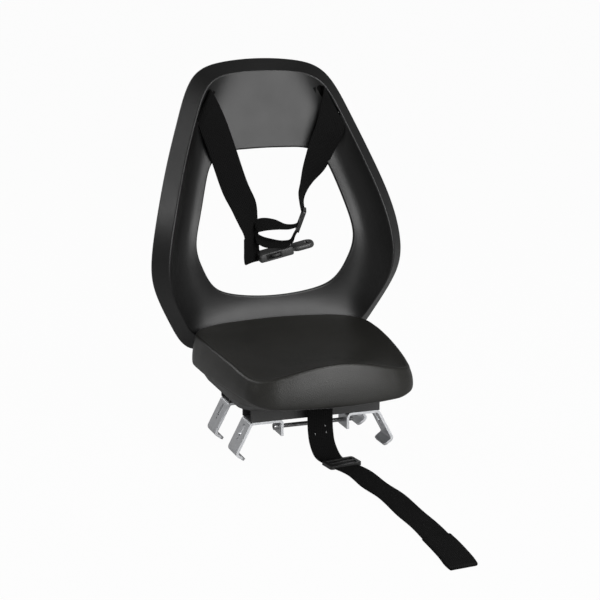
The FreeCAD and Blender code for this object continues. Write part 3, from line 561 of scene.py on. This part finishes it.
# Straps as (middle, edge direction, width) stops
LEFT_STRAP = (
    ((-79, 126, 347), (0.5, 0, 0.87), 39), ((-79, 117, 347), (0.5, 0, 0.87), 39),
    ((-76.5, 112.5, 339), (0.62, 0, 0.78), 38), ((-68, 111, 318), (0.85, 0, 0.53), 35),
    ((-57, 110.5, 286), (0.93, 0, 0.36), 34), ((-42.6, 109.5, 244), (0.93, 0.05, 0.36), 34),
    ((-32.4, 109, 222), (0.93, 0.2, 0.3), 34), ((-28, 108.5, 204), (0.857, 0.5, 0.1), 34),
    ((-24.8, 108, 190), (0.743, 0.669, 0), 34), ((-24.1, 107.5, 166), (0.766, 0.643, 0), 34),
    ((-23.6, 107.5, 158), (0.766, 0.643, 0), 34), ((-23, 110, 153.5), (0.766, 0.643, 0), 31),
    ((-23, 113, 158), (0.766, 0.643, 0), 30), ((-23, 113, 170), (0.766, 0.643, 0), 30),
    ((-23.4, 112.5, 184), (0.766, 0.643, 0), 29),
)
RIGHT_STRAP = (
    ((82.6, 126, 346), (0.5, 0, -0.87), 42.5), ((82.6, 115, 346), (0.5, 0, -0.87), 42.5),
    ((82.2, 110, 334.5), (0.64, -0.2, -0.74), 41.5), ((78, 107.5, 318), (0.82, -0.2, -0.5), 37),
    ((66, 109, 289), (0.94, 0.05, -0.33), 35), ((58.2, 109.5, 270), (0.93, 0.25, -0.3), 34),
    ((47.1, 109.5, 249), (0.7, 0.7, -0.15), 34), ((42.6, 109.5, 238), (0.6, 0.79, -0.05), 34),
    ((41.2, 109.5, 225), (0.454, 0.891, 0), 32), ((43, 109.5, 213), (0.42, 0.906, 0), 28),
)
CHEST_UPPER = (
    ((-19, 109.5, 198.5), (0, 0.75, 0.66), 20), ((-8, 108, 200.5), (0, 0.75, 0.66), 20),
    ((8, 107, 199.5), (0, 0.88, 0.47), 20), ((24, 108, 195.5), (0.1, 1, 0.1), 20),
    ((33, 109.5, 196), (0.3, 1, 0), 20), ((40, 109.5, 199), (0.3, 1, 0), 20),
)
CHEST_LOWER = (
    ((-19, 109.5, 185), (0, 0.75, 0.66), 20), ((-9, 108.5, 179), (0, 0.82, 0.57), 20),
    ((4, 108, 176), (0, 0.92, 0.4), 20), ((20, 108.5, 174.8), (0.1, 1, 0.15), 20),
    ((28, 109.5, 177), (0.2, 1, 0), 20), ((32, 109.5, 185), (0.3, 1, 0), 20),
    ((37, 109.5, 193), (0.3, 1, 0), 20),
)
CROTCH_STRAP = (
    ((-1.6, -76, 19.6), (1, 0, 0), 31), ((-1.6, -76.5, 8), (1, 0, 0), 31),
    ((-1.4, -77.5, -8), (1, 0, 0), 31), ((0.5, -80.5, -25), (1, 0, 0), 31),
    ((5, -88, -38), (1, -0.1, 0), 31),
    ((11, -100, FLOOR_LIE + 1.2), (1, 0.1, 0), 31), ((15, -114, FLOOR_LIE + 0.8), (1, 0.1, 0), 31),
    ((20, -145, FLOOR_LIE + 2.2), (1, 0.08, 0), 30), ((22.5, -185, FLOOR_LIE + 0.8), (1, 0, 0), 31),
    ((24.5, -230, FLOOR_LIE + 2.8), (1, 0, 0), 30.5), ((25, -280, FLOOR_LIE + 0.8), (1, 0, 0), 31),
    ((23.5, -325, FLOOR_LIE + 2.2), (1, -0.05, 0), 30.5), ((22, -360, FLOOR_LIE + 1.4), (1, -0.05, 0), 31),
)
CROTCH_LOOP = (
    ((22.2, -355, FLOOR_LIE + 2.0), (1, 0.05, 0), 33), ((21, -375, FLOOR_LIE + 2.2), (1, 0.08, 0), 33.5),
    ((19, -400, FLOOR_LIE + 2.2), (1, 0.1, 0), 33.5), ((15.5, -430, FLOOR_LIE + 2.2), (1, 0.1, 0), 33),
    ((15, -436, FLOOR_LIE + 2.2), (1, 0.1, 0), 31.5),
)
# Loose stitches on the front of the crotch strap, and their radius along their length
STITCHES = ((-8.3, -78.7, -11.5), (4.0, -78.0, -2.6), (5.2, -78.6, -10.5))
STITCH_AROUND = 8
STITCH_ROUND = ((-1.3, 0.1), (-0.9, 0.5), (0, 0.6), (0.9, 0.5), (1.3, 0.1))


def make_webbing(material):
    webbing("left_shoulder_webbing", LEFT_STRAP, material, "backrest", ["shoulder_strap_left"],
            cup=WEB_CUP)
    webbing("right_shoulder_webbing", RIGHT_STRAP, material, "backrest", ["shoulder_strap_right"],
            cup=WEB_CUP)
    webbing("chest_webbing_upper", CHEST_UPPER, material, "backrest", ["chest_strap_upper"])
    webbing("chest_webbing_lower", CHEST_LOWER, material, "backrest", ["chest_strap_lower"])
    webbing("crotch_webbing", CROTCH_STRAP, material, "seat", ["crotch_strap"])
    webbing("crotch_webbing_end", CROTCH_LOOP, material, "seat", ["crotch_loop"],
            thick=LOOP_THICK)


def make_stitches(material):
    """Short loose threads that stand on the strap."""
    turn = np.linspace(0, 2 * math.pi, STITCH_AROUND, endpoint=False)
    circle = np.stack((np.cos(turn), np.sin(turn), np.zeros(STITCH_AROUND)), 1)
    skins = []
    for x, y, z in STITCHES:
        skins.append(skin_over([circle * radius + (x, y, z + rise) for rise, radius in STITCH_ROUND]))
    dress(skin_object("crotch_stitches", skins), material, "seat")


def dress_nodes(finishes):
    """Give every CAD node its own finish."""
    for name, node in NODES.items():
        key = next(k for k in finishes if k in name)
        node.data.materials.clear()
        node.data.materials.append(finishes[key])


make_camera()
make_floor()
make_world()
for lamp in LAMPS:
    soft_box(*lamp)
shell = moulded("shell_plastic", grey(0.0035), grey(0.0055), 0.38, 1500.0, 0.12, 0.42)
skin = moulded("pad_skin", (0.010, 0.0098, 0.0085), (0.0145, 0.0142, 0.0124), 0.38, 900.0, 0.25, 0.42)
pan = moulded("pan_plastic", grey(0.050), (0.065, 0.065, 0.062), 0.5, 1200.0, 0.2, 0.25)
rails = moulded("rail_paint", grey(0.045), grey(0.058), 0.5, 1200.0, 0.2, 0.2)
acetal = moulded("fitting_plastic", grey(0.032), grey(0.045), 0.36, 1600.0, 0.1, 0.4)
nylon = moulded("slider_plastic", grey(0.010), grey(0.016), 0.36, 1600.0, 0.1, 0.4)
thread = moulded("stitch_thread", grey(0.22), grey(0.32), 0.6, 1600.0, 0.3, 0.3)
paint = moulded("arm_paint", grey(0.010), grey(0.014), 0.45, 1400.0, 0.15, 0.3)
zinc = brushed("zinc_steel", (0.74, 0.75, 0.77), 0.38, (15, 700, 15))
bolt = threaded("bolt_steel", (0.62, 0.62, 0.63))
small = brushed("screw_steel", (0.6, 0.6, 0.61), 0.3, (400, 400, 60))
web = woven("webbing")
dress_nodes({"clamp_bolt": bolt, "clamp_nut": small, "screws": small, "pins": small, "hook_": zinc,
             "arm": paint, "strap": web, "loop": web, "buckle": acetal, "slider": nylon, "anchors": acetal,
             "seat_pad": skin, "backrest": shell, "pan": pan, "rail": rails})
make_pad(skin)
make_lip(pan)
make_case(acetal)
make_plug(acetal)
make_webbing(web)
make_stitches(thread)
